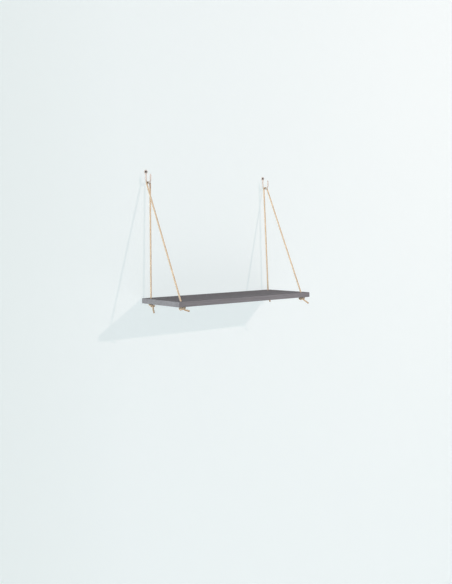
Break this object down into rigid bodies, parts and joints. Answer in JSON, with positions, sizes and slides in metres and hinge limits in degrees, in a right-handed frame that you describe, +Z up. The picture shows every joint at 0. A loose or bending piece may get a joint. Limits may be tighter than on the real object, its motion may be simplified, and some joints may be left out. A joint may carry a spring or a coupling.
{
  "type": "hanging rope shelf",
  "caption": "Small wall shelf: a painted wooden board hung on knotted ropes from J-shaped metal wall hooks.",
  "frame": {"origin": "on the wall face, midway between the two hooks, at the height of their screws", "axes": "+X along the board to the right seen from the room, +Y into the wall, +Z up"},
  "size_m": [0.5054, 0.2328, 0.4292],
  "materials": {
    "painted_wood": "matt anthracite paint on wood",
    "rope": "twisted natural fibre, matt",
    "hook_enamel": "cream-white lacquer on steel",
    "dark_screw": "blackened steel",
    "grey_nylon": "grey nylon"
  },
  "bodies": {
    "wall_hooks": {"left_hook": "hook_enamel", "left_screw": "dark_screw", "left_wall_plug": "grey_nylon", "right_hook": "hook_enamel", "right_screw": "dark_screw", "right_wall_plug": "grey_nylon"},
    "rope_bights": {"left_rope_bight": "rope", "right_rope_bight": "rope"},
    "left_strands": {"left_front_strand": "rope", "left_back_strand": "rope"},
    "board": {"shelf_board": "painted_wood", "left_front_knot": "rope", "left_back_knot": "rope", "right_front_knot": "rope", "right_back_knot": "rope"},
    "right_strands": {"right_front_strand": "rope", "right_back_strand": "rope"}
  },
  "joints": [
    {"name": "shelf_swing", "type": "hinge", "parent": "wall_hooks", "child": "rope_bights", "pos_m": [0, -0.0142, -0.0322], "axis": [-1, 0, 0], "range_deg": [0, 30]},
    {"name": "shelf_sway", "type": "hinge", "parent": "rope_bights", "child": "left_strands", "pos_m": [-0.23, -0.0142, -0.0322], "axis": [0, -1, 0], "range_deg": [-6, 6]},
    {"name": "board_on_left_rope", "type": "hinge", "parent": "left_strands", "child": "board", "pos_m": [-0.23, -0.1, -0.3782], "axis": [0, -1, 0], "range_deg": [-6, 6]},
    {"name": "board_on_right_rope", "type": "hinge", "parent": "board", "child": "right_strands", "pos_m": [0.23, -0.1, -0.3782], "axis": [0, -1, 0], "range_deg": [-6, 6]}
  ],
  "couplings": [
    {"joint": "board_on_left_rope", "follows": "shelf_sway", "ratio": -1},
    {"joint": "board_on_right_rope", "follows": "shelf_sway", "ratio": 1}
  ]
}
